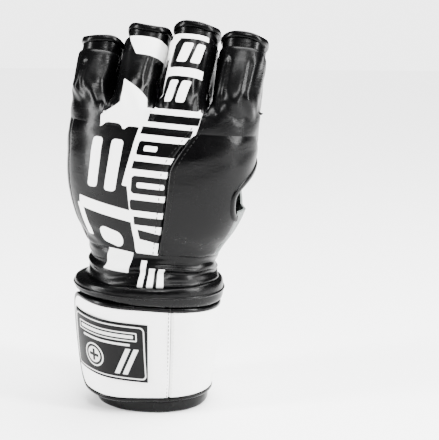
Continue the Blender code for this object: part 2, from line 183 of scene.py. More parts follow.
def cuff_face(angle, z, inset):
    angle, z, inset = np.broadcast_arrays(*(np.asarray(v, float) for v in (angle, z, inset)))
    half_width, depth = station_values(CUFF_STATIONS, z)
    x, y = oval(angle, half_width - inset, depth - inset, depth - inset, CUFF_ROUNDNESS)
    return np.stack([x + CUFF_X, y + CUFF_Y, z], axis=-1)


def lattice(columns, rows):
    return np.meshgrid(columns, rows, indexing="ij")


def fine_ends(count):
    """Shares from 0 to 1 that lie closer together near both ends."""
    t = np.linspace(0, 1, count)
    return 0.5 * t + 0.5 * (0.5 - 0.5 * np.cos(np.pi * t))


def edge_runs(points, axis):
    """How far along the sheet each point is from the first and from the last edge across that axis."""
    steps = np.linalg.norm(np.diff(points, axis=axis), axis=2)
    before = [(0, 0), (0, 0)]
    before[axis] = (1, 0)
    run = np.cumsum(np.pad(steps, before), axis=axis)
    return run, np.take(run, [-1], axis=axis) - run


def tuck(distance, width, depth):
    """How far a turned edge has rolled under at that distance from it."""
    share = 1 - np.clip(distance / width, 0, 1)
    return depth * (1 - np.sqrt(1 - share * share))


def new_piece(name, points, faces, look, uv=None):
    data = bpy.data.meshes.new(name)
    data.from_pydata([tuple(p) for p in np.asarray(points) * MM], [], faces)
    data.materials.append(look)
    data.shade_smooth()
    if uv is not None:
        layer = data.uv_layers.new(name="panel")
        corner = np.zeros(len(data.loops), int)
        data.loops.foreach_get("vertex_index", corner)
        layer.data.foreach_set("uv", (np.asarray(uv) * MM)[corner].astype(np.float32).ravel())
    return new_object(name, data)


def sheet_faces(columns, rows, ring):
    faces = []
    for i in range(columns if ring else columns - 1):
        k = (i + 1) % columns
        for j in range(rows - 1):
            faces.append((i * rows + j, k * rows + j, k * rows + j + 1, i * rows + j + 1))
    return faces


def add_wall(made, thickness):
    wall = made.modifiers.new("wall", "SOLIDIFY")
    wall.thickness = thickness * MM
    wall.offset = -1
    wall.use_even_offset = False


def sheet_piece(name, points, look, thickness, ring=False, uv=None, corners=0.4):
    """A leather sheet from a grid of points (column, row, xyz), with its wall inside the grid."""
    columns, rows = points.shape[:2]
    flat_uv = None if uv is None else uv.reshape(-1, 2)
    made = new_piece(name, points.reshape(-1, 3), sheet_faces(columns, rows, ring), look, flat_uv)
    add_wall(made, thickness)
    if corners:
        edge = made.modifiers.new("edge", "BEVEL")
        edge.width = corners * MM
        edge.segments = 2
        edge.limit_method = "ANGLE"
        edge.angle_limit = math.radians(60)
    return made


def new_group(name, inputs, outputs, kind_of_tree="ShaderNodeTree"):
    """A node group. inputs are (name, kind, value) and outputs (name, kind)."""
    group = bpy.data.node_groups.new(name, kind_of_tree)
    for label, kind, value in inputs:
        socket = group.interface.new_socket(label, in_out="INPUT", socket_type="NodeSocket" + kind)
        if value is not None:
            socket.default_value = value
    for label, kind in outputs:
        group.interface.new_socket(label, in_out="OUTPUT", socket_type="NodeSocket" + kind)
    return group, group.nodes.new("NodeGroupInput").outputs, group.nodes.new("NodeGroupOutput").inputs


def add_node(tree, kind, inputs=(), **settings):
    """A node with its settings, and its inputs, each a value or a socket to link from."""
    node = tree.nodes.new(kind)
    for label, value in settings.items():
        setattr(node, label, value)
    for label, value in dict(inputs).items():
        if isinstance(value, bpy.types.NodeSocket):
            tree.links.new(value, node.inputs[label])
        else:
            node.inputs[label].default_value = value
    return node


def calc(tree, operation, *values):
    return add_node(tree, "ShaderNodeMath", dict(enumerate(values)), operation=operation).outputs[0]


def mix_colours(tree, share, first, second):
    return add_node(tree, "ShaderNodeMix", {0: share, 6: first, 7: second}, data_type="RGBA").outputs[2]


# Leather grain: fine pebbles with hairline valleys, over soft unevenness of the hide's backing foam.
grain, grain_in, grain_out = new_group(
    "leather_grain",
    [("Vector", "Vector", None), ("Pebbles", "Float", 900.0), ("Unevenness", "Float", 60.0)],
    [("Height", "Float"), ("Mottle", "Float")],
)
pebbles = add_node(grain, "ShaderNodeTexVoronoi",
                   {"Vector": grain_in["Vector"], "Scale": grain_in["Pebbles"]}, feature="SMOOTH_F1")
cloudy = add_node(grain, "ShaderNodeTexNoise",
                  {"Vector": grain_in["Vector"], "Scale": grain_in["Unevenness"], "Detail": 4.0})
pores = add_node(grain, "ShaderNodeTexNoise", {"Vector": grain_in["Vector"], "Scale": 2600.0, "Detail": 2.0})
pore_part = calc(grain, "MULTIPLY", pores.outputs[0], 0.25)
fine_part = calc(grain, "MULTIPLY_ADD", pebbles.outputs["Distance"], 0.6, pore_part)
grain.links.new(fine_part, grain_out["Height"])
grain.links.new(cloudy.outputs[0], grain_out["Mottle"])

# Soft creases: long shallow folds where the hide has been bent, and finer ones across them.
creases, creases_in, creases_out = new_group(
    "soft_creases", [("Vector", "Vector", None), ("Scale", "Float", 30.0)], [("Height", "Float")]
)
stretched = add_node(creases, "ShaderNodeMapping", {"Vector": creases_in["Vector"], "Scale": (0.6, 0.6, 1.6)})
folds = add_node(creases, "ShaderNodeTexNoise",
                 {"Vector": stretched.outputs[0], "Scale": creases_in["Scale"], "Detail": 5.0,
                  "Roughness": 0.6})
ridge = calc(creases, "ABSOLUTE", calc(creases, "SUBTRACT", folds.outputs[0], 0.5))
ridge = calc(creases, "POWER", calc(creases, "MULTIPLY", ridge, 2.0), 0.6)
creases.links.new(calc(creases, "SUBTRACT", 1.0, ridge), creases_out["Height"])


def leather(name, colour, roughness, pebbles_per_m, grain_depth, crease_depth, lighter=0.06, shine=0.5):
    """Leather of one colour: grain and creases in its bump, and a little change of colour and gloss."""
    look = bpy.data.materials.new(name)
    look.use_nodes = True
    tree = look.node_tree
    shader = tree.nodes["Principled BSDF"]
    place = add_node(tree, "ShaderNodeTexCoord").outputs["Object"]
    fine = add_node(tree, "ShaderNodeGroup", {"Vector": place, "Pebbles": pebbles_per_m}, node_tree=grain)
    fold = add_node(tree, "ShaderNodeGroup", {"Vector": place}, node_tree=creases)
    light = tuple(c + (1 - c) * lighter for c in colour)
    tint = mix_colours(tree, fine.outputs["Mottle"], (*colour, 1), (*light, 1))
    tree.links.new(tint, shader.inputs["Base Color"])
    gloss = add_node(tree, "ShaderNodeMapRange",
                     {"Value": fine.outputs["Mottle"], "From Min": 0.3, "From Max": 0.7,
                      "To Min": roughness - 0.04, "To Max": roughness + 0.07})
    tree.links.new(gloss.outputs[0], shader.inputs["Roughness"])
    deep = add_node(tree, "ShaderNodeBump",
                    {"Height": fold.outputs["Height"], "Distance": crease_depth * MM, "Strength": 1.0})
    bump = add_node(tree, "ShaderNodeBump",
                    {"Height": fine.outputs["Height"], "Distance": grain_depth * MM, "Strength": 1.0,
                     "Normal": deep.outputs[0]})
    tree.links.new(bump.outputs[0], shader.inputs["Normal"])
    shader.inputs["Specular IOR Level"].default_value = shine
    return look


def smooth_black(name):
    """The glossy black hide of most of the glove."""
    return leather(name, (0.0005, 0.0005, 0.0006), 0.25, 1100.0, 0.03, 0.22, lighter=0.0006, shine=0.1)


black_hide = smooth_black("black_hide")

around = np.linspace(0, 360, 145)[:-1]
angle, height = lattice(around, np.linspace(SLEEVE_LOW, SLEEVE_HIGH, 20))
sleeve = sheet_piece("sleeve", cuff_face(angle, height, 0.1), black_hide, 2.9, ring=True, corners=0.8)
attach(sleeve, "cuff")
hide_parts("cuff_sleeve")

# ---------------------------------------------------------------- foot band and top rim
# The bottom edge of the cuff is bound with a broad black band, turned under all round.
# The top edge is a soft padded rim of the same hide with a line of piping round its middle.

FOOT_HALF = 4.9
RIM_Z, RIM_HALF, RIM_OUT, RIM_THICK = 79.6, 4.8, 2.4, 3.3
RIM_DROP, RIM_WIDENS = 3.0, 2.6
RIM_SWELL = 2.5
TAB_RISE = 2.5
PIPING = 0.9


def sweep(name, path, outward, half_width, half_thick, look, closed=True, fullness=2.6, sides=14):
    """A padded or folded band along a path: its section is a rounded oval, thick along outward."""
    path, outward = np.asarray(path, float), np.asarray(outward, float)
    if closed:
        tangent = np.roll(path, -1, axis=0) - np.roll(path, 1, axis=0)
    else:
        tangent = np.gradient(path, axis=0)
    tangent /= np.linalg.norm(tangent, axis=1, keepdims=True)
    outward = outward - tangent * np.sum(outward * tangent, axis=1, keepdims=True)
    outward /= np.linalg.norm(outward, axis=1, keepdims=True)
    side = np.cross(outward, tangent)
    turn = np.linspace(0, 2 * np.pi, sides, endpoint=False)
    across = np.sign(np.cos(turn)) * np.abs(np.cos(turn)) ** (2 / fullness)
    up = np.sign(np.sin(turn)) * np.abs(np.sin(turn)) ** (2 / fullness)
    half_width, half_thick = (np.broadcast_to(v, len(path)) for v in (half_width, half_thick))
    points = path[:, None] + side[:, None] * (half_width[:, None] * across)[..., None]
    points = points + outward[:, None] * (half_thick[:, None] * up)[..., None]
    count = len(path)
    faces = []
    for i in range(count if closed else count - 1):
        k = (i + 1) % count
        for j in range(sides):
            m = (j + 1) % sides
            faces.append((i * sides + j, i * sides + m, k * sides + m, k * sides + j))
    if not closed:
        faces.append(tuple(reversed(range(sides))))
        faces.append(tuple((count - 1) * sides + j for j in range(sides)))
    return new_piece(name, points.reshape(-1, 3), faces, look)


def cuff_out(angle_deg):
    turn = np.radians(angle_deg)
    return np.stack([np.cos(turn), np.sin(turn), np.zeros_like(turn)], axis=-1)


def ripple(angle_deg, waves, depth, start=0.0):
    """A small change of width round a band, as the thread pulls it in."""
    turn = np.radians(angle_deg)
    mixed = np.sin(turn * waves + start) + 0.6 * np.sin(turn * (waves * 1.7 // 1) + 1.3 + start)
    return 1 + depth * mixed


foot_path = cuff_face(around, FOOT_HALF + 0.15, 0.6)
foot_band = sweep("foot_band", foot_path, cuff_out(around), FOOT_HALF * ripple(around, 9, 0.01), 2.9,
                  black_hide,
                  fullness=3.0, sides=20)
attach(foot_band, "cuff")
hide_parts("cuff_foot_rim")


def mound(value, middle, width):
    return np.exp(-(((value - middle) / width) ** 2))


def thumb_share(angle):
    """1 at the thumb side of the cuff and 0 at the little-finger side."""
    return 0.5 + 0.5 * np.cos(np.radians(angle))


def tab_rise(angle):
    """The strap climbs a little towards the free end of its tab."""
    return TAB_RISE * mound(angle, 200, 34)


rim_z = RIM_Z - RIM_DROP * thumb_share(around) ** 1.5 + tab_rise(around) * 0.8
rim_half = RIM_HALF + RIM_WIDENS * thumb_share(around) ** 1.5
rim_swell = RIM_SWELL * mound(around, 220, 46)
rim_path = cuff_face(around, rim_z, -RIM_OUT - rim_swell)
top_rim = sweep("top_rim", rim_path, cuff_out(around), rim_half * ripple(around, 7, 0.02),
                (RIM_THICK + rim_swell) * ripple(around, 5, 0.03, 2.0), black_hide, fullness=2.9, sides=24)
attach(top_rim, "cuff")
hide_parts("cuff_top_rim")

piping_path = cuff_face(around, rim_z, -RIM_OUT - RIM_THICK - 2 * rim_swell)
piping = sweep("rim_piping", piping_path, cuff_out(around), PIPING, PIPING, black_hide, fullness=2.0, sides=8)
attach(piping, "cuff")

# ---------------------------------------------------------------- strap
# White hide folded over webbing, 3 mm thick and about 63 mm wide, sewn to the sleeve along one line on
# the back of the cuff. The wrap runs round under the tab, and the tab's free end has round corners.

STRAP_LOW, STRAP_HIGH = 10.3, 73.0
TAB_ROOT = 294.0
TAB_END = 197.0
WRAP_END = 586.0
STRAP_OUT = 4.0
STRAP_THICK = 3.0
STRAP_NARROWS = 6.0
TAB_OUT = 10.2
ROOT_GAP_WRAP, ROOT_GAP_TAB = 0.3, 0.7
CORNER_DEG = 19.0
CORNER_MM = 13.0
CORNER_LOW_SHARE = 1.35

white_hide = leather("white_hide", (0.86, 0.86, 0.85), 0.38, 1000.0, 0.10, 0.7, lighter=0.25)


def strap_high(angle):
    """The strap is cut a little narrower round the thumb side, where the rim comes lower."""
    return STRAP_HIGH - STRAP_NARROWS * thumb_share(angle) ** 1.5


def strap_sheet(name, angles, inset_at, low_at, high_at):
    """A length of strap. inset_at, low_at and high_at are functions of the angle."""
    rows = fine_ends(26)
    angle = np.repeat(angles[:, None], len(rows), axis=1)
    height = low_at(angle) + (high_at(angle) - low_at(angle)) * rows
    low_run = height - low_at(angle)
    high_run = high_at(angle) - height
    inset = inset_at(angle) + tuck(low_run, 2.5, 0.9) + tuck(high_run, 2.5, 0.9)
    soft = 0.25 * np.sin(angle / 9 + height / 17) + 0.18 * np.sin(angle / 5.3 - height / 8)
    points = cuff_face(angle, height, inset - soft * ease(low_run, 0, 12) * ease(high_run, 0, 12))
    return sheet_piece(name, points, white_hide, STRAP_THICK, corners=0.5)


WRAP_ROOT = TAB_ROOT - ROOT_GAP_WRAP
wrap_angles = np.concatenate([np.linspace(WRAP_ROOT, TAB_ROOT + 6, 8),
                              np.linspace(TAB_ROOT + 8, WRAP_END, 120)])
strap_wrap = strap_sheet(
    "strap_wrap_hide", wrap_angles,
    lambda a: -STRAP_OUT + tuck(a - WRAP_ROOT, 3.0, 0.9),
    lambda a: np.full_like(a, STRAP_LOW), strap_high)
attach(strap_wrap, "cuff")
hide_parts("strap_wrap")


def tab_corner(angle):
    """How far the tab's edge is cut back at its round corners."""
    share = np.clip((TAB_END + CORNER_DEG - angle) / CORNER_DEG, 0, 1)
    return CORNER_MM * (1 - np.sqrt(1 - share * share * 0.995))


def tab_face_inset(angle):
    """The tab lies on the sleeve at its root and climbs over the strap's start."""
    return -(STRAP_OUT + (TAB_OUT - STRAP_OUT) * ease(TAB_ROOT - angle, 14, 58))


def tab_low(angle):
    return STRAP_LOW + tab_rise(angle) + CORNER_LOW_SHARE * tab_corner(angle)


def tab_high(angle):
    return strap_high(angle) + tab_rise(angle) - tab_corner(angle)


tab_angles = np.concatenate([TAB_END + CORNER_DEG * np.linspace(0, 1, 26) ** 2,
                             np.linspace(TAB_END + CORNER_DEG + 2, TAB_ROOT - ROOT_GAP_TAB, 70)])
strap_tab = strap_sheet(
    "strap_tab_hide", tab_angles,
    lambda a: tab_face_inset(a) + tuck(TAB_ROOT - ROOT_GAP_TAB - a, 2.2, 0.8),
    tab_low, tab_high)
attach(strap_tab, "strap_tab")
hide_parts("strap_tab")

# ---------------------------------------------------------------- strap bindings
# Black tape folded over the strap's edges and sewn through: along both edges of the wrap, and in one
# length round the tab's end. It stands a little proud of the white hide on both faces.

BINDING, BINDING_THICK = 1.75, 1.95
STRAP_CORE = STRAP_THICK / 2


def even_path(points, count):
    """Points at equal steps along a path."""
    points = np.asarray(points, float)
    run = np.concatenate([[0], np.cumsum(np.linalg.norm(np.diff(points, axis=0), axis=1))])
    wanted = np.linspace(0, run[-1], count)
    return np.stack([np.interp(wanted, run, points[:, k]) for k in range(3)], axis=1)


for name, z in (("low", STRAP_LOW), ("high", strap_high(wrap_angles))):
    path = even_path(cuff_face(wrap_angles, z, -STRAP_OUT + STRAP_CORE), 150)
    out = (path - CUFF_MIDDLE) * [1, 1, 0]
    tape = sweep(f"strap_tape_{name}", path, out, BINDING, BINDING_THICK, black_hide, closed=False, sides=12)
    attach(tape, "cuff")
    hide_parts(f"strap_wrap_binding_{name}")

top_run = [cuff_face(a, tab_high(a), tab_face_inset(a) + STRAP_CORE) for a in tab_angles[::-1]]
end_run = [cuff_face(TAB_END - 0.4, z, tab_face_inset(TAB_END) + STRAP_CORE)
           for z in np.linspace(float(tab_high(TAB_END)), float(tab_low(TAB_END)), 16)[1:-1]]
low_run = [cuff_face(a, tab_low(a), tab_face_inset(a) + STRAP_CORE) for a in tab_angles]
tab_edge = even_path(top_run + end_run + low_run, 220)
tab_out = (tab_edge - CUFF_MIDDLE) * [1, 1, 0]
tab_tape = sweep("strap_tab_tape", tab_edge, tab_out, BINDING, BINDING_THICK, black_hide, closed=False,
                 sides=12)
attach(tab_tape, "strap_tab")
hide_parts("strap_tab_binding")

# ---------------------------------------------------------------- hook and loop
# Two patches of black woven tape hold the tab down. The loop side is sewn on the outside of the wrap's
# far end, and the hook side under the tab where it lies over that end.

tape_fabric = leather("tape_fabric", (0.02, 0.02, 0.02), 0.9, 1500.0, 0.4, 0.1)


def patch(name, first, last, inset_at, thickness, body, node):
    columns = np.linspace(first, last, 24)
    angle, height = lattice(columns, np.linspace(STRAP_LOW + 6, STRAP_HIGH - 12, 24))
    made = sheet_piece(name, cuff_face(angle, height, inset_at(angle)), tape_fabric, thickness, corners=0.3)
    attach(made, body)
    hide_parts(node)


patch("loop_tape", WRAP_END - 31, WRAP_END - 3, lambda a: a * 0 - STRAP_OUT - 1.1, 1.2, "cuff",
      "strap_loop_patch")
patch("hook_tape", TAB_END + 4, WRAP_END - 362, lambda a: tab_face_inset(a) + 2.9, 1.1, "strap_tab",
      "strap_hook_patch")

# ---------------------------------------------------------------- stitches
# All visible seams are lockstitch: short raised stitches of round thread at an even pitch. Two rows hold
# the strap to the sleeve, one on each side of the line where the tab starts.

thread_tree, row_in, row_out = new_group(
    "stitch_row",
    [("Geometry", "Geometry", None), ("Pitch", "Float", 0.0025), ("Length", "Float", 0.0018),
     ("Thread", "Float", 0.0004), ("Material", "Material", None)],
    [("Geometry", "Geometry")], "GeometryNodeTree",
)
row_curve = add_node(thread_tree, "GeometryNodeMeshToCurve", {"Mesh": row_in["Geometry"]})
row_points = add_node(thread_tree, "GeometryNodeCurveToPoints",
                      {"Curve": row_curve.outputs[0], "Length": row_in["Pitch"]}, mode="LENGTH")
stitch = add_node(thread_tree, "GeometryNodeMeshUVSphere", {"Segments": 6, "Rings": 5, "Radius": 1.0})
long_way = add_node(thread_tree, "FunctionNodeAlignRotationToVector",
                    {"Vector": row_points.outputs["Tangent"]}, axis="X")
half_long = calc(thread_tree, "MULTIPLY", row_in["Length"], 0.5)
stitch_size = add_node(thread_tree, "ShaderNodeCombineXYZ",
                       {"X": half_long, "Y": row_in["Thread"], "Z": row_in["Thread"]})
stitches = add_node(thread_tree, "GeometryNodeInstanceOnPoints",
                    {"Points": row_points.outputs["Points"], "Instance": stitch.outputs["Mesh"],
                     "Rotation": long_way.outputs[0], "Scale": stitch_size.outputs[0]})
realised = add_node(thread_tree, "GeometryNodeRealizeInstances", {"Geometry": stitches.outputs[0]})
smooth = add_node(thread_tree, "GeometryNodeSetShadeSmooth", {"Geometry": realised.outputs[0]})
finished = add_node(thread_tree, "GeometryNodeSetMaterial",
                    {"Geometry": smooth.outputs[0], "Material": row_in["Material"]})
thread_tree.links.new(finished.outputs[0], row_out["Geometry"])

white_thread = leather("white_thread", (0.72, 0.72, 0.70), 0.6, 3000.0, 0.05, 0.0)
black_thread = leather("black_thread", (0.003, 0.003, 0.003), 0.6, 3000.0, 0.05, 0.0, lighter=0.002,
                       shine=0.1)
grey_thread = leather("grey_thread", (0.10, 0.10, 0.10), 0.6, 3000.0, 0.05, 0.0)


def stitch_row(name, paths, look, body, pitch=2.6, length=1.9, thread=0.32):
    """Rows of stitches along paths of points in millimetres, made as one plain mesh on a body."""
    points, edges = [], []
    for path in paths:
        start = len(points)
        points.extend(tuple(p) for p in np.asarray(path) * MM)
        edges.extend((k, k + 1) for k in range(start, len(points) - 1))
    data = bpy.data.meshes.new(name)
    data.from_pydata(points, edges, [])
    made = new_object(name, data)
    row = made.modifiers.new("row", "NODES")
    row.node_group = thread_tree
    values = {"Pitch": pitch * MM, "Length": length * MM, "Thread": thread * MM, "Material": look}
    for item in thread_tree.interface.items_tree:
        if item.in_out == "INPUT" and item.name in values:
            row[item.identifier] = values[item.name]
    settled = bpy.context.evaluated_depsgraph_get()
    plain = bpy.data.meshes.new_from_object(made.evaluated_get(settled))
    made.modifiers.clear()
    made.data = plain
    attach(made, body)


ROOT_LINE = np.linspace(12.5, 67.5, 40)
tab_line = cuff_face(TAB_ROOT - 2.6, ROOT_LINE, tab_face_inset(TAB_ROOT - 2.6) - 0.05)
wrap_line = cuff_face(TAB_ROOT + 1.9, ROOT_LINE, -STRAP_OUT - 0.05)
stitch_row("tab_root_stitches", [tab_line], grey_thread, "strap_tab")
stitch_row("wrap_root_stitches", [wrap_line], white_thread, "cuff")

# ---------------------------------------------------------------- label
# A moulded rubber label, 1.3 mm thick and sewn flat on the tab, a little tilted. Its print is a thin
# light frame, a plain ring badge and slanted bars.

LABEL_FIRST, LABEL_LAST = 208.0, 275.0
LABEL_LOW, LABEL_HIGH = 23.0, 61.6
LABEL_LIFT, LABEL_TILT = 5.0, 6.0
LABEL_STANDS = 1.15

block, block_in, block_out = new_group(
    "print_block",
    [("Place", "Vector", None), ("X", "Float", 0.0), ("Y", "Float", 0.0), ("Half Width", "Float", 5.0),
     ("Half Height", "Float", 5.0), ("Corner", "Float", 0.5), ("Lean", "Float", 0.0), ("Slope", "Float", 0.0),
     ("Taper", "Float", 0.0)],
    [("Mask", "Float")],
)
place_xy = add_node(block, "ShaderNodeSeparateXYZ", {0: block_in["Place"]})


def minus(first, second):
    return calc(block, "SUBTRACT", first, second)


def times(first, second):
    return calc(block, "MULTIPLY", first, second)


along_x = minus(place_xy.outputs["X"], block_in["X"])
along_y = minus(place_xy.outputs["Y"], block_in["Y"])
up_y = minus(along_y, times(along_x, block_in["Slope"]))
lean_x = minus(along_x, times(along_y, block_in["Lean"]))
up_share = calc(block, "DIVIDE", up_y, block_in["Half Height"])
taper = calc(block, "MULTIPLY_ADD", up_share, block_in["Taper"], 1.0)
past_x = minus(calc(block, "ABSOLUTE", lean_x), times(block_in["Half Width"], taper))
past_y = minus(calc(block, "ABSOLUTE", up_y), block_in["Half Height"])
free_x, free_y = (calc(block, "ADD", past, block_in["Corner"]) for past in (past_x, past_y))
out_x, out_y = calc(block, "MAXIMUM", free_x, 0.0), calc(block, "MAXIMUM", free_y, 0.0)
outside = calc(block, "SQRT", calc(block, "ADD", times(out_x, out_x), times(out_y, out_y)))
inside = calc(block, "MINIMUM", calc(block, "MAXIMUM", free_x, free_y), 0.0)
distance = minus(calc(block, "ADD", outside, inside), block_in["Corner"])
mask = add_node(block, "ShaderNodeMapRange", {"Value": distance, "From Min": -0.12, "From Max": 0.12,
                                              "To Min": 1.0, "To Max": 0.0})
block.links.new(mask.outputs[0], block_out["Mask"])


def paint_blocks(tree, blocks):
    """Paints blocks over one another in millimetres on the piece's own map, the first one white, and
    returns the paint's value. A block is (white or black, x, y, half width, half height, corner, and if
    it has them lean, slope and taper)."""
    place = add_node(tree, "ShaderNodeUVMap", uv_map="panel").outputs[0]
    in_mm = add_node(tree, "ShaderNodeVectorMath", {0: place, "Scale": 1000.0}, operation="SCALE").outputs[0]
    value = None
    for white, *sizes in blocks:
        sockets = dict(zip(("X", "Y", "Half Width", "Half Height", "Corner", "Lean", "Slope", "Taper"),
                           sizes))
        shape = add_node(tree, "ShaderNodeGroup", {"Place": in_mm, **sockets}, node_tree=block)
        covered = shape.outputs["Mask"]
        if value is None:
            value = covered
        else:
            value = add_node(tree, "ShaderNodeMix", {0: covered, 2: value, 3: float(white)},
                             data_type="FLOAT").outputs[0]
    return value


def printed(look, blocks, ink):
    """Adds a print in one ink to a leather: the ink replaces the colour where the blocks are."""
    tree = look.node_tree
    colour = tree.nodes["Principled BSDF"].inputs["Base Color"]
    under = colour.links[0].from_socket
    tree.links.new(mix_colours(tree, paint_blocks(tree, blocks), under, (*ink, 1)), colour)
    return look


LABEL_INK = (0.55, 0.55, 0.54)
label_blocks = [
    (1, 0, 0, 26.2, 17.4, 3.0), (0, 0, 0, 25.5, 16.7, 2.5),
    (1, 0, 10.6, 21.5, 2.9, 0.8), (0, 0, 10.6, 20.8, 2.2, 0.5), (1, 0, 10.6, 19.2, 1.0, 0.4),
    (1, 0, 5.2, 17.0, 0.7, 0.3),
    (1, -8.0, -6.0, 7.6, 7.6, 7.6), (0, -8.0, -6.0, 6.7, 6.7, 6.7), (1, -8.0, -6.0, 5.1, 5.1, 5.1),
    (0, -8.0, -6.0, 1.0, 3.9, 0.4), (0, -8.0, -6.0, 3.9, 1.0, 0.4),
    (1, 12.0, -6.0, 1.5, 8.6, 0.2, 0.45), (1, 17.0, -6.0, 1.5, 8.6, 0.2, 0.45),
]
plain_rubber = leather("label_rubber", (0.0006, 0.0006, 0.0007), 0.4, 2200.0, 0.04, 0.0, lighter=0.0006,
                       shine=0.1)
label_rubber = printed(plain_rubber, label_blocks, LABEL_INK)

angle, share = lattice(np.linspace(LABEL_FIRST, LABEL_LAST, 50), fine_ends(36))
label_flat = LABEL_LOW + (LABEL_HIGH - LABEL_LOW) * share
label_height = label_flat + LABEL_LIFT - LABEL_TILT * (angle - LABEL_FIRST) / (LABEL_LAST - LABEL_FIRST)
label_base = cuff_face(angle, label_height, tab_face_inset(angle))
across, back_across = edge_runs(label_base, 0)
up, down = edge_runs(label_base, 1)
to_edge = np.minimum(np.minimum(across, back_across), np.minimum(up, down))
rise = LABEL_STANDS - tuck(to_edge, 1.0, 0.6)
label_points = cuff_face(angle, label_height, tab_face_inset(angle) - rise)
label_uv = np.stack([across - (across + back_across) / 2, label_flat - (LABEL_LOW + LABEL_HIGH) / 2], axis=-1)
label = sheet_piece("label_patch", label_points, label_rubber, 1.3, uv=label_uv, corners=0.2)
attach(label, "strap_tab")
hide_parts("strap_label")

# ---------------------------------------------------------------- hand panels
# The hand is four panels of hide sewn edge to edge over foam: the printed back, the black thumb side
# and little-finger side, and the grey palm. Each seam is turned in, so the panels swell beside it.

JOINTS = {joint["name"]: joint for joint in frame["joints"]}
WRIST = Vector(JOINTS["wrist_flex"]["pos_m"]) / MM
KNUCKLE_AXIS = Vector(JOINTS["wrist_flex"]["axis"])
HAND_LEAN = math.asin(KNUCKLE_AXIS.z)
HAND_TURN = np.array(Matrix.Rotation(HAND_LEAN, 3, "Y"))
KNUCKLE_S = 104.0

HAND_STATIONS = [
    (0, 39.5, 31.5, 31.0),
    (14, 43.5, 33.0, 32.0),
    (30, 52.0, 37.0, 35.0),
    (50, 58.5, 40.0, 34.0),
    (72, 60.5, 40.0, 27.0),
    (104, 60.0, 35.0, 20.0),
    (118, 59.5, 33.0, 19.0),
]
HAND_ROUNDNESS = 2.4


def hand_to_row(points):
    """Points of the hand's own frame (origin on the wrist joint) to the glove's frame."""
    return points @ HAND_TURN.T + np.array(WRIST)


def hand_local(angle, s, inset):
    angle, s, inset = np.broadcast_arrays(*(np.asarray(v, float) for v in (angle, s, inset)))
    half_width, back, palm = station_values(HAND_STATIONS, s)
    x, y = oval(angle, half_width - inset, back - inset, palm - inset, HAND_ROUNDNESS)
    return np.stack([x, y, s], axis=-1)


def hand_face(angle, s, inset):
    return hand_to_row(hand_local(angle, s, inset))


ARC_FIRST, ARC_LAST, ARC_LOW, ARC_HIGH, ARC_STEP = 100, 440, -6, 118, 4
MID_BACK = 270
fine_angles = np.arange(ARC_FIRST, ARC_LAST + 1)
fine_heights = np.arange(ARC_LOW, ARC_HIGH + 1, ARC_STEP)
fine_grid = hand_face(*lattice(fine_angles, fine_heights), 0)
arc_steps = np.linalg.norm(np.diff(fine_grid, axis=0), axis=2)
arc_table = np.vstack([np.zeros((1, len(fine_heights))), np.cumsum(arc_steps, axis=0)])
arc_table = arc_table - arc_table[MID_BACK - ARC_FIRST]


def print_map(angle, s):
    """Where a point is on the unrolled back of the glove: millimetres round it and up it."""
    column = np.clip(angle - ARC_FIRST, 0, len(fine_angles) - 1.001)
    row = np.clip((s - ARC_LOW) / ARC_STEP, 0, len(fine_heights) - 1.001)
    i, j = column.astype(int), row.astype(int)
    a, b = column - i, row - j
    low = arc_table[i, j] * (1 - a) + arc_table[i + 1, j] * a
    high = arc_table[i, j + 1] * (1 - a) + arc_table[i + 1, j + 1] * a
    return np.stack([low * (1 - b) + high * b, s], axis=-1)


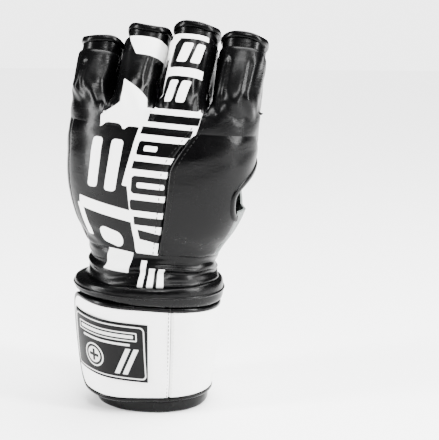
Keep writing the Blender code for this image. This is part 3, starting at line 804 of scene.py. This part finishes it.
PRINT = [
    # the outer column: two tall slots, a sloping band with a stripe down its end, and two plain blocks
    (1, -35.5, 69.0, 3.4, 15.5, 2.2, 0.07),
    (1, -22.6, 68.5, 3.7, 16.0, 2.2, 0.10),
    (1, -27.0, 40.5, 20.0, 3.6, 1.0, 0.0, -0.13),
    (1, -43.0, 31.5, 2.4, 10.0, 0.8, -0.4),
    (1, -22.5, 23.0, 8.0, 5.0, 4.5, 0.0, -0.25),
    (1, -17.5, 9.0, 8.5, 6.0, 0.5, 0.3, -0.06),
    # a wide peak at the foot of the ring finger's pad
    (1, -27.5, 99.5, 7.0, 3.6, 0.6, 0.0, 0.75),
    (1, -14.0, 105.5, 8.5, 9.0, 1.0, 0.0, -0.55),
    (1, -18.0, 96.5, 12.0, 5.5, 2.5, 0.1),
    (0, -26.0, 89.5, 6.5, 4.5, 4.0),
    (0, -12.5, 88.5, 6.0, 4.5, 4.0),
    # the middle column's white ground, from the middle finger's pad to the wrist
    (1, 13.0, 128.0, 14.0, 25.0, 1.0),
    (1, 6.0, 81.0, 17.5, 24.0, 1.0, 0.2),
    (1, 8.0, 39.5, 18.0, 25.0, 1.0, -0.17),
    # black blocks and bars on that ground
    (0, 18.0, 139.5, 14.5, 10.0, 3.0, 0.15),
    (1, 12.0, 140.0, 3.0, 6.6, 1.4, 0.25),
    (1, 20.5, 140.0, 3.0, 6.6, 1.4, 0.25),
    (0, 14.0, 114.5, 14.5, 9.3, 3.0, 0.15),
    (1, 7.0, 115.0, 2.8, 6.0, 1.4, 0.25),
    (1, 15.0, 115.0, 2.8, 6.0, 1.4, 0.25),
    (0, 11.5, 99.4, 15.5, 2.5, 0.4, 0.2),
    (0, 8.0, 91.6, 15.5, 2.3, 0.4, 0.2),
    (0, 6.0, 81.0, 14.5, 4.4, 1.6, 0.2),
    (1, -0.5, 81.0, 4.0, 1.6, 1.0, 0.2),
    (0, 4.0, 70.5, 14.5, 2.5, 0.4, 0.2),
    (0, 3.0, 58.5, 13.5, 5.6, 2.4, 0.0),
    (1, 1.5, 58.5, 8.5, 1.6, 1.2, 0.0),
    (0, 3.0, 45.8, 13.5, 3.4, 1.6, -0.1),
    (0, 5.0, 36.0, 12.5, 2.7, 0.5, -0.1),
    (0, 7.0, 25.5, 11.0, 3.2, 0.5, -0.2, -0.15),
    # three bars over the wrist's gathers
    (1, -1.0, 0.0, 1.9, 10.5, 0.3, 0.10),
    (1, 5.4, -2.0, 1.9, 8.5, 0.3, 0.06),
    (1, 11.4, -2.0, 1.9, 8.5, 0.3, 0.06),
    # a wide block at the top of the ring finger's pad, and a small one low on its side
    (1, -9.5, 143.0, 12.5, 6.5, 0.8, 0.1, 0.0, 0.35),
]
PRINT_INK = (0.84, 0.84, 0.83)
printed_hide = printed(smooth_black("printed_hide"), PRINT, PRINT_INK)


BACK_SEAM = 278


def back_seam(s):
    return BACK_SEAM + 19 * ease(s, 66, KNUCKLE_S + 8)


THUMB_S, THUMB_HALF, THUMB_REACH = 58.0, 18.0, 15.0


def thumb_seam(s):
    return 341.6 + 38.0 * ease(s, 54, 82)


def thumb_edge(s):
    reach = np.clip((s - THUMB_S) / THUMB_HALF, -1, 1)
    return thumb_seam(s) - THUMB_REACH * np.sqrt(1 - reach * reach)


PANEL_TOP = KNUCKLE_S - 8.0
PANEL_TOP_AT_PALM = 80.5
PANEL_THICK = 1.6


def side_top(angle):
    """The panels' top edges: level on the back, and lower towards the palm."""
    _, y = oval(angle, 60.0, 35.0, 20.0, HAND_ROUNDNESS)
    return PANEL_TOP - (PANEL_TOP - PANEL_TOP_AT_PALM) * ease(y, -8, 12)


def under_pads(angle, s):
    """The panels sink under the finger pads' hide where the two are laid over one another."""
    return 0.9 * ease(s, side_top(angle) - 9, side_top(angle))


def knuckle_swell(angle, s):
    """How far in the hide lies: the foam swells a little below the knuckles and sinks where it ends above
    the wrist, and the hide has soft folds in both places."""
    turn = np.radians(angle)
    back = np.clip(-np.sin(turn), 0, 1)
    folds = 0.30 * np.sin(turn * 11 + s * 0.55) * mound(s, 19, 7.0)
    folds = folds + 0.22 * np.sin(turn * 7 - s * 0.32) * mound(s, 84, 16.0)
    return 1.4 * mound(s, 20, 7.0) * back - 0.5 * mound(s, 76, 16.0) * back + folds


def panel_relief(angle, s):
    return knuckle_swell(angle, s) + under_pads(angle, s)


def hand_panel(name, first, last, low, high, look, columns, rows, edges, relief):
    """A panel of hide on the hand. first and last give the side edges' angles at a height, low and high
    the ends' heights at an angle. edges are the depths that its four edges turn in, in that order."""
    share, rise = lattice(fine_ends(columns), fine_ends(rows))
    s = np.full_like(share, 60.0)
    for _ in range(6):
        angle = first(s) + (last(s) - first(s)) * share
        s = low(angle) + (high(angle) - low(angle)) * rise
    base = hand_face(angle, s, 0)
    inset = relief(angle, s)
    for run, depth in zip((*edge_runs(base, 0), *edge_runs(base, 1)), edges):
        inset = inset + tuck(run, 3.2, depth)
    return sheet_piece(name, hand_face(angle, s, inset), look, PANEL_THICK, uv=print_map(angle, s))


def fixed(value):
    return lambda other: np.full_like(np.asarray(other, float), value)


HAND_LOW = 14.0
back_panel = hand_panel("back_panel", fixed(204.8), lambda s: back_seam(s) - 0.3, fixed(HAND_LOW), side_top,
                        printed_hide, 70, 80, (1.2, 1.4, 1.6, 0.0), panel_relief)
thumb_side = hand_panel("thumb_side_panel", lambda s: back_seam(s) + 0.3, thumb_edge, fixed(HAND_LOW),
                        side_top,
                        black_hide, 70, 110, (1.4, 0.6, 1.6, 0.0), panel_relief)
little_side = hand_panel("little_side_panel", fixed(150.4), fixed(205.5), fixed(HAND_LOW), side_top,
                         black_hide, 30, 80, (1.2, 1.2, 1.6, 0.0), panel_relief)
for made, node, slot in ((back_panel, "back_cover", "printed_leather"),
                         (thumb_side, "thumb_side_cover", "black_leather"),
                         (little_side, "little_side_cover", "black_leather")):
    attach(made, "hand")
    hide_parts(node)
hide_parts("back_foam")

seam_s = np.linspace(HAND_LOW + 2, PANEL_TOP - 1, 60)
seam_inset = knuckle_swell(back_seam(seam_s), seam_s) + 0.05
seam_rows = [hand_face(back_seam(seam_s) + shift, seam_s, seam_inset) for shift in (-3.4, 3.4)]
stitch_row("back_seam_stitches", seam_rows, black_thread, "hand", pitch=3.0, length=2.2)

# ---------------------------------------------------------------- back lining
# A soft grey knitted lining, 1 mm thick, closes the foam towards the hand. It is sewn in with the
# panels' edges.

lining_knit = leather("lining_knit", (0.035, 0.035, 0.037), 0.85, 700.0, 0.25, 0.1)


def foam_depth(angle):
    return 5.0 + 11.5 * np.clip(-np.sin(np.radians(angle)), 0, 1) ** 1.3


angle, s = lattice(np.linspace(203, 319, 50), np.linspace(HAND_LOW, PANEL_TOP + 6, 40))
back_lining = sheet_piece("back_lining_knit", hand_face(angle, s, foam_depth(angle)), lining_knit, 1.0)
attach(back_lining, "hand")
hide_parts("back_lining")

# ---------------------------------------------------------------- palm
# Grey grained hide. It covers the heel of the palm only: its top edge is bound and the palm is open
# above. The pad is an egg of foam under a second piece of grey hide, sewn down all round.

PALM_TOP, PALM_TOP_AT_THUMB = 74.0, 44.0
grey_hide = leather("grey_hide", (0.085, 0.097, 0.093), 0.55, 650.0, 0.20, 1.1, lighter=0.03)
pad_hide = leather("pad_hide", (0.07, 0.08, 0.077), 0.58, 650.0, 0.20, 0.6, lighter=0.03)


def palm_top(angle):
    return PALM_TOP_AT_THUMB + (PALM_TOP - PALM_TOP_AT_THUMB) * ease(angle, 20, 48)


def palm_angle(x, s):
    half_width = station_values(HAND_STATIONS, s)[0]
    cosine = np.sign(x) * (np.abs(x) / half_width) ** (HAND_ROUNDNESS / 2)
    return np.degrees(np.arccos(cosine))


PAD_S, PAD_HALF_HEIGHT, PAD_HALF_WIDTH, PAD_RISE = 40.0, 24.0, 18.0, 6.0


def palm_relief(angle, s):
    """Shallow folds of the soft palm."""
    folds = 0.5 * np.sin(s / 3.1 + angle / 14) * ease(s, 50, 68) + 0.4 * np.sin(angle / 4 + s / 9)
    return 0.4 + folds


palm = hand_panel("palm_panel", fixed(-17.8), fixed(149.6), fixed(HAND_LOW), palm_top,
                  grey_hide, 100, 60, (1.0, 1.2, 1.4, 0.0), palm_relief)
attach(palm, "hand")
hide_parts("palm_cover")

angle, s = lattice(np.linspace(52, 146, 40), np.linspace(HAND_LOW, PALM_TOP - 3, 24))
palm_lining = sheet_piece("palm_lining_knit", hand_face(angle, s, 2.9), lining_knit, 1.0)
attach(palm_lining, "hand")
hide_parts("palm_lining")


def pad_point(radius, turn, rise):
    """A point on the palm pad, an egg with its narrow end up. radius runs from 0 to 1 at the rim."""
    up = radius * np.sin(turn)
    s = PAD_S + PAD_HALF_HEIGHT * up
    x = PAD_HALF_WIDTH * radius * np.cos(turn) * (1 - 0.16 * up)
    return hand_face(palm_angle(x, s), s, -rise)


pad_turns = np.linspace(0, 2 * np.pi, 72, endpoint=False)
pad_radii = np.concatenate([[0.02], np.linspace(0.1, 0.85, 12), np.linspace(0.89, 1.0, 9)])
turn, radius = lattice(pad_turns, pad_radii)
pad_rise = 0.2 + (PAD_RISE - 0.6) * np.sqrt(1 - radius ** 3.2 * 0.999)
pad_points = pad_point(radius, turn, pad_rise)
pad_count = len(pad_radii)
pad_faces = [tuple(reversed(f)) for f in sheet_faces(len(pad_turns), pad_count, True)]
pad_faces.append(tuple(k * pad_count for k in range(len(pad_turns))))
palm_pad = new_piece("palm_pad", pad_points.reshape(-1, 3), pad_faces, pad_hide)
add_wall(palm_pad, 1.2)
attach(palm_pad, "hand")
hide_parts("palm_pad_cover", "palm_pad_foam")
pad_line = pad_point(np.full(120, 1.07), np.linspace(0, 2 * np.pi, 120), np.full(120, 0.1))
stitch_row("palm_pad_stitches", [pad_line], white_thread, "hand", pitch=3.0, length=2.1,
           thread=0.45)

# ---------------------------------------------------------------- openings of the hand
# The palm's top edge and the thumb hole are bound with black tape. A narrow strap between them
# carries on over the crotch of the thumb, and a strip of grey hide faces the inside of the hole.


def hand_out(path):
    """Outwards from the hand's middle line, for a path in the glove's frame."""
    local = (path - np.array(WRIST)) @ HAND_TURN
    local[:, 2] = 0
    return local @ HAND_TURN.T


slot_angles = np.linspace(48, 148, 70)
slot_path = hand_face(slot_angles, palm_top(slot_angles) + 0.8, 0.9)
slot_tape = sweep("palm_slot_tape", slot_path, hand_out(slot_path), 2.3, 1.5, black_hide, closed=False,
                  sides=12)
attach(slot_tape, "hand")
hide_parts("palm_slot_binding")

hole_s = THUMB_S - THUMB_HALF * np.cos(np.radians(np.linspace(2, 178, 70)))
hole_path = even_path(hand_face(thumb_edge(hole_s), hole_s, 0.8), 70)
for _ in range(12):
    hole_path[1:-1] = 0.5 * hole_path[1:-1] + 0.25 * (hole_path[:-2] + hole_path[2:])
hole_tape = sweep("thumb_hole_tape", hole_path, hand_out(hole_path), 2.4, 1.7, black_hide, closed=False,
                  sides=12)
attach(hole_tape, "hand")
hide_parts("thumb_hole_binding")

CROTCH_LOW, CROTCH_HIGH = 75.5, 81.5
angle, s = lattice(np.linspace(15, 52, 30), np.linspace(CROTCH_LOW, CROTCH_HIGH, 10))
crotch_inset = 0.2 + tuck(np.minimum(s - CROTCH_LOW, CROTCH_HIGH - s), 2.0, 0.9)
crotch = sheet_piece("thumb_crotch_loop", hand_face(angle, s, crotch_inset), black_hide, 2.2)
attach(crotch, "hand")
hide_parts("thumb_crotch_strap")

angle, s = lattice(np.linspace(322, 334, 16), np.linspace(THUMB_S - 15, THUMB_S + 15, 24))
facing = sheet_piece("thumb_facing", hand_face(angle, s, 4.3), grey_hide, 1.2)
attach(facing, "hand")
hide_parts("thumb_hole_facing")

# ---------------------------------------------------------------- wrist
# Soft hide gathers between the hand's padding and the cuff's rim. It is cut with the panels, so the
# print runs on down it, and it lies in soft folds.

WRIST_LOW_Z = 82.0
WRIST_SAG = 2.8
THUMB_PRINT_END = 9.5
OFF_THE_PRINT = 200.0

angle, rise = lattice(np.linspace(0, 360, 181)[:-1], np.linspace(0, 1, 44))
wrist_low = cuff_face(angle, WRIST_LOW_Z, 0.3)
wrist_high = hand_face(angle, HAND_LOW + 1.0, 1.5)
waist = np.sin(np.pi * rise)
turn = np.radians(angle)
gathers = 0.9 * np.sin(rise * 15 + 1.4 * np.sin(turn * 2 + 0.6) + 0.9 * np.sin(turn * 5))
gathers += 0.6 * np.sin(rise * 27 + 2.1 * np.sin(turn * 3 + 2.0)) * (0.5 + 0.5 * np.sin(turn * 4))
wrist_points = wrist_low + (wrist_high - wrist_low) * rise[..., None]
middle = CUFF_MIDDLE + (np.array(WRIST) - CUFF_MIDDLE) * rise[..., None]
radial = wrist_points - middle
radial[..., 2] = 0
radial /= np.linalg.norm(radial, axis=-1, keepdims=True)
sag = WRIST_SAG * mound(rise, 0.12, 0.2)
wrist_points = wrist_points + radial * ((gathers - 0.6) * waist ** 0.7 + sag)[..., None]
wrist_print = print_map(np.where(angle < 100, angle + 360, angle), -6 + (HAND_LOW + 7) * rise)
wrist_print[..., 1] = np.minimum(wrist_print[..., 1], np.where(angle > BACK_SEAM, THUMB_PRINT_END, np.inf))
wrist_print[..., 1] -= OFF_THE_PRINT * (np.sin(turn) > 0.1)
wrist_skin = sheet_piece("wrist_skin", wrist_points, printed_hide, 1.4, ring=True, uv=wrist_print)
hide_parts("wrist_sleeve")
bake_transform(wrist_skin)

# ---------------------------------------------------------------- fingers
# Each finger pad is foam under hide: the back panel's hide runs up over it, round its sides to the
# leather under the finger, and turns in at the top against a bound collar.

FINGERS = [
    # name, middle, width, depth of the back, length, places of the pressed channels, sides at the knuckles
    ("little", -45.5, 28.0, 27.0, 27.0, (-6.0,), (-59.5, -31.0)),
    ("ring", -16.5, 28.0, 33.0, 37.0, (8.5,), (-31.0, -2.0)),
    ("middle", 13.5, 30.0, 34.0, 41.0, (10.5,), (-2.0, 29.0)),
    ("index", 44.5, 30.0, 28.0, 37.0, (-8.0, 6.5), (29.0, 59.5)),
]
CURL = math.radians(20.0)
FINGER_ROUNDNESS = 2.8
FINGER_PALM = 18.0
TIP_SHARE = 0.8
TIP_DEPTH = 14.0
MIDDLE_COLUMN = 28
PAD_FOOT = 9.0
COLLAR_LOW, COLLAR_HIGH = -2.5, 8.6
UNDER_FOOT = 13.0


def finger_to_hand(middle, points):
    """From a finger's frame, curled about the knuckle line, to the hand's frame."""
    x, y, s = points[..., 0], points[..., 1], points[..., 2]
    return np.stack([x + middle, y * math.cos(CURL) + s * math.sin(CURL),
                     KNUCKLE_S + s * math.cos(CURL) - y * math.sin(CURL)], axis=-1)


def knuckle_angle(x):
    """The section angle on the back of the hand at a distance x across the knuckles."""
    cosine = np.sign(x) * (np.abs(x) / 60.0) ** (HAND_ROUNDNESS / 2)
    return 360 - np.degrees(np.arccos(cosine))


def finger_section(angle, half, back, s):
    x, y = oval(angle, half, back, FINGER_PALM, FINGER_ROUNDNESS)
    return np.stack([x, y, np.broadcast_to(s, x.shape)], axis=-1)


for name, middle, width, back, length, channels, sides in FINGERS:
    half = width / 2 - 0.2
    slot = "printed_leather" if name in ("ring", "middle") else "black_leather"
    look = black_hide if name == "index" else printed_hide
    angles = 172 + 196 * np.linspace(0, 1, 2 * MIDDLE_COLUMN + 1)
    strip = finger_section(angles, half, back, 0.0)
    section_arc = np.concatenate([[0], np.cumsum(np.linalg.norm(np.diff(strip, axis=0), axis=1))])
    section_arc -= section_arc[MIDDLE_COLUMN]
    share = section_arc / section_arc[-1]
    x = np.sign(share) * (1 - (1 - np.abs(share)) ** 3)
    foot_angle = knuckle_angle(middle + x * np.where(x < 0, middle - sides[0], sides[1] - middle))
    mid_angle = foot_angle[MIDDLE_COLUMN]
    if name == "index":
        outer = slice(MIDDLE_COLUMN, None)
        foot_angle[outer] = np.interp(section_arc[outer], [0, section_arc[-1]], [mid_angle, 369.0])
    if name == "little":
        outer = slice(None, MIDDLE_COLUMN + 1)
        foot_angle[outer] = np.interp(section_arc[outer], [section_arc[0], 0], [171.0, mid_angle])
    foot_low = side_top(foot_angle) - 7.0
    keys, places, prints = [], [], []
    for share, sink in ((0.0, 1.3), (0.25, 0.5), (0.5, 0.1), (0.75, 0.0), (1.0, 0.0)):
        s = foot_low + (KNUCKLE_S - 0.5 - foot_low) * share
        keys.append(hand_local(foot_angle, s, knuckle_swell(foot_angle, s) + sink))
        places.append(-14.0 + 14.0 * share)
        prints.append(print_map(foot_angle, s))
    arc = print_map(knuckle_angle(middle), KNUCKLE_S)[0] + section_arc
    for s in np.linspace(3.0, length - 6, 6):
        depth = back * (1 - (1 - TIP_SHARE) * ease(s, 0, length))
        keys.append(finger_to_hand(middle, finger_section(angles, half, depth, s)))
        places.append(PAD_FOOT + s)
        prints.append(np.stack([arc, np.full_like(arc, KNUCKLE_S + PAD_FOOT + s)], axis=-1))
    tip = back * TIP_SHARE
    for s, narrow in ((length - 2.0, 0.06), (length - 0.4, 0.24), (length + 0.6, 0.55), (length + 0.9, 0.95)):
        section = finger_section(angles, half - 2.6 * narrow, tip + (TIP_DEPTH - tip) * narrow, s)
        keys.append(finger_to_hand(middle, section))
        places.append(places[-1] + 4.0)
        prints.append(np.stack([arc, np.full_like(arc, KNUCKLE_S + PAD_FOOT + s)], axis=-1))
    left_print, right_print = (print_map(knuckle_angle(side), KNUCKLE_S)[0] for side in sides)
    for row in prints:
        row[:, 0] = np.clip(row[:, 0], left_print + 0.2, right_print - 0.2)
    wanted = np.linspace(places[0], places[-1], 84)
    grid = smooth_rows(keys, places, wanted).transpose(1, 0, 2)
    uv = smooth_rows(prints, places, wanted).transpose(1, 0, 2)
    up_pad = uv[..., 1]
    round_pad = section_arc[:, None]
    relief = 0.45 * np.sin(0.55 * round_pad + 0.4 * up_pad) * mound(up_pad, 111, 8.0)
    relief = relief + 0.3 * np.sin(0.35 * round_pad - 0.16 * up_pad + middle)
    pressed = ease(up_pad, 106, 116) * (1 - ease(up_pad, up_pad.max() - 14, up_pad.max() - 7))
    for place in channels:
        relief = relief - mound(round_pad - 0.06 * (up_pad - 120), place, 1.9) * pressed
    away = grid - np.array([middle, 0.0, 0.0])
    away[..., 2] = 0
    away /= np.linalg.norm(away, axis=-1, keepdims=True)
    grid = grid + away * (relief * ease(up_pad, 97, 104))[..., None]
    cover = sheet_piece(f"{name}_pad", hand_to_row(grid), look, 1.5, uv=uv, corners=0)
    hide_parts(f"{name}_pad_cover", f"{name}_pad_foam")
    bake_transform(cover)

    under_heights = fine_ends(50) * (length + UNDER_FOOT) - UNDER_FOOT
    under_angle, under_s = lattice(np.linspace(4, 176, 44), under_heights)
    under_inset = tuck(under_s + UNDER_FOOT, 3.0, 1.6) + 0.25 * np.sin(under_s / 2.9 + under_angle / 30)
    x, y = oval(under_angle, half - under_inset, 10.0, FINGER_PALM - under_inset, FINGER_ROUNDNESS)
    under_points = finger_to_hand(middle, np.stack([x, y, under_s], axis=-1))
    under = sheet_piece(f"{name}_under", hand_to_row(under_points), black_hide, 1.4)
    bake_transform(under)
    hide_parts(f"{name}_underside")

    ring_heights = np.linspace(length + COLLAR_LOW, length + COLLAR_HIGH, 18)
    ring_angle, ring_s = lattice(np.linspace(0, 360, 61)[:-1], ring_heights)
    wave = 0.8 * np.sin(np.radians(ring_angle) * 3 + middle)
    ring_s = ring_s + wave * ease(ring_s, length, length + 8)
    x, y = oval(ring_angle, half - 0.9, 15.2, FINGER_PALM - 0.2, 2.6)
    collar_points = finger_to_hand(middle, np.stack([x, y, ring_s], axis=-1))
    collar = sheet_piece(f"{name}_collar_hide", hand_to_row(collar_points), black_hide, 1.6, ring=True)
    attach(collar, name)
    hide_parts(f"{name}_collar")
    rim_points = hand_to_row(collar_points[:, -1])
    rim_middle = rim_points.mean(axis=0)
    tape = sweep(f"{name}_collar_tape", rim_points, rim_points - rim_middle, 2.2, 1.3, black_hide, sides=12)
    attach(tape, name)
